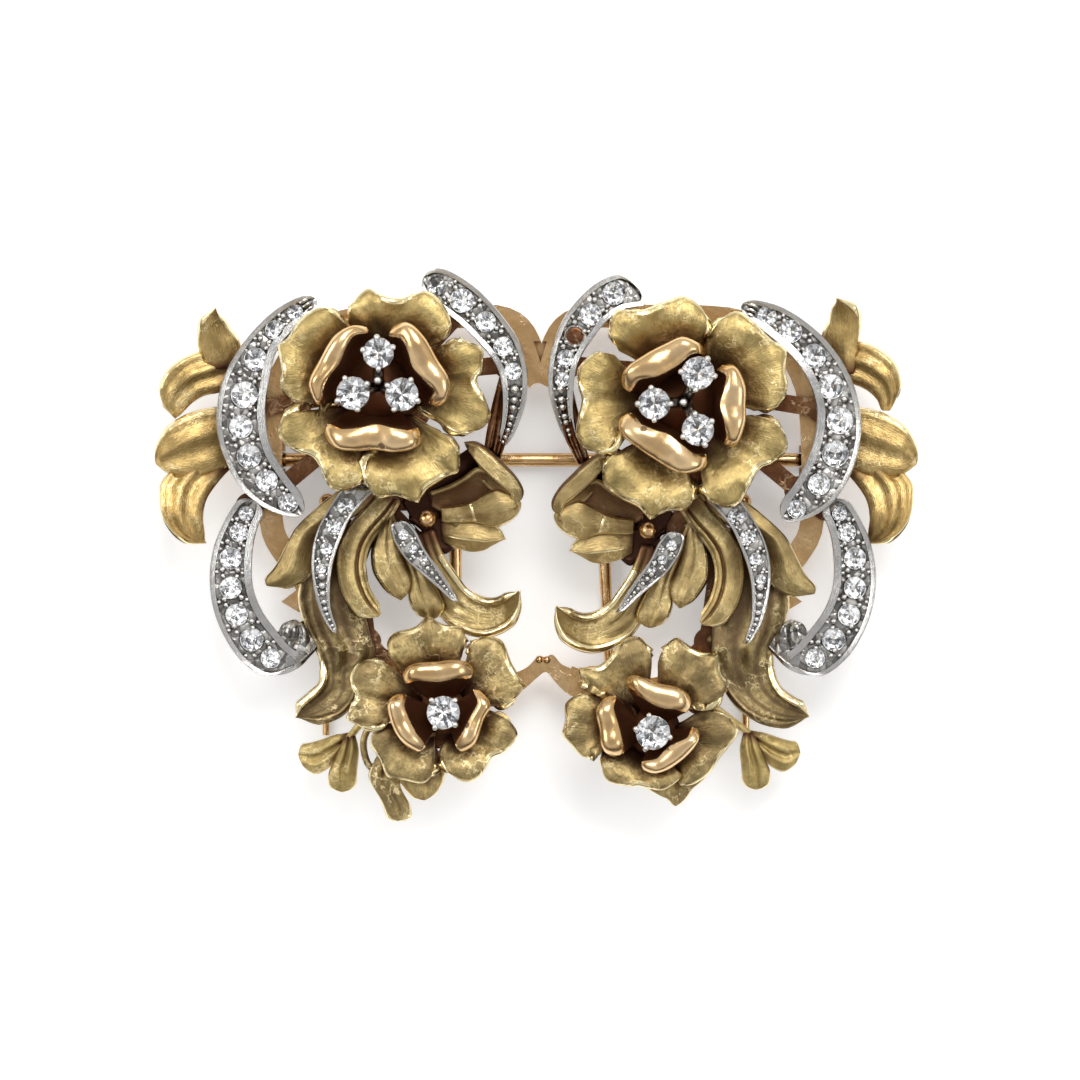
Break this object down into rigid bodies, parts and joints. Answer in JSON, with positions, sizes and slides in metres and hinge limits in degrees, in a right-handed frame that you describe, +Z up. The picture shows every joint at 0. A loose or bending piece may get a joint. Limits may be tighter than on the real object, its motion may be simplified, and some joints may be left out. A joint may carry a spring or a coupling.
{
  "type": "double clip brooch",
  "caption": "Flower spray brooch of two mirrored gold clips on a frame, with stone set ribbons, petals, scrolls, a hinged pin and sprung clip levers.",
  "frame": {"origin": "centre of the bounding box at the surface that the brooch lies on", "axes": "+X to the viewer's right, +Y towards the top of the brooch, +Z up out of its front"},
  "size_m": [0.0652, 0.0471, 0.0152],
  "materials": {
    "satin_gold": "satin yellow gold, finely filed",
    "polished_gold": "polished pale rose gold",
    "rose_gold": "worn rose gold",
    "platinum": "bright cut platinum",
    "diamond": "clear cut stone"
  },
  "bodies": {
    "brooch": {"brooch_frame": "rose_gold", "left_clip_base": "rose_gold", "left_upper_side_leaf": "satin_gold", "left_lower_side_leaf": "satin_gold", "left_leaf_spray": "satin_gold", "left_long_scroll": "satin_gold", "left_lower_scroll": "satin_gold", "left_bell_flower": "satin_gold", "left_bud_spray": "satin_gold", "left_outer_ribbon": "platinum", "left_top_ribbon": "platinum", "left_lower_ribbon": "platinum", "left_middle_ribbon": "platinum", "left_small_ribbon": "platinum", "left_outer_ribbon_stones": "diamond", "left_top_ribbon_stones": "diamond", "left_lower_ribbon_stones": "diamond", "left_inner_ribbon_stones": "diamond", "left_big_flower_petals": "satin_gold", "left_big_flower_inner_petals": "polished_gold", "left_big_flower_setting": "platinum", "left_big_stone_1": "diamond", "left_big_stone_2": "diamond", "left_big_stone_3": "diamond", "left_small_flower_petals": "satin_gold", "left_small_flower_inner_petals": "polished_gold", "left_small_flower_setting": "platinum", "left_small_stone": "diamond", "right_clip_base": "rose_gold", "right_upper_side_leaf": "satin_gold", "right_lower_side_leaf": "satin_gold", "right_leaf_spray": "satin_gold", "right_long_scroll": "satin_gold", "right_lower_scroll": "satin_gold", "right_bell_flower": "satin_gold", "right_bud_spray": "satin_gold", "right_outer_ribbon": "platinum", "right_top_ribbon": "platinum", "right_lower_ribbon": "platinum", "right_middle_ribbon": "platinum", "right_small_ribbon": "platinum", "right_outer_ribbon_stones": "diamond", "right_top_ribbon_stones": "diamond", "right_lower_ribbon_stones": "diamond", "right_inner_ribbon_stones": "diamond", "right_big_flower_petals": "satin_gold", "right_big_flower_inner_petals": "polished_gold", "right_big_flower_setting": "platinum", "right_big_stone_1": "diamond", "right_big_stone_2": "diamond", "right_big_stone_3": "diamond", "right_small_flower_petals": "satin_gold", "right_small_flower_inner_petals": "polished_gold", "right_small_flower_setting": "platinum", "right_small_stone": "diamond"},
    "pin": {"pin_stem": "rose_gold"},
    "left_lever": {"left_clip_lever": "rose_gold"},
    "right_lever": {"right_clip_lever": "rose_gold"}
  },
  "joints": [
    {"name": "pin_hinge", "type": "hinge", "parent": "brooch", "child": "pin", "pos_m": [-0.0224, 0.0071, 0.00095], "axis": [0, 1, 0], "range_deg": [0, 60]},
    {"name": "left_clip_hinge", "type": "hinge", "parent": "brooch", "child": "left_lever", "pos_m": [-0.0125, 0.0035, 0.00135], "axis": [1, 0, 0], "range_deg": [0, 40], "stiffness_Nm_per_rad": 0.002, "springref_deg": -20.05},
    {"name": "right_clip_hinge", "type": "hinge", "parent": "brooch", "child": "right_lever", "pos_m": [0.0125, 0.0035, 0.00135], "axis": [1, 0, 0], "range_deg": [0, 40], "stiffness_Nm_per_rad": 0.002, "springref_deg": -20.05}
  ]
}
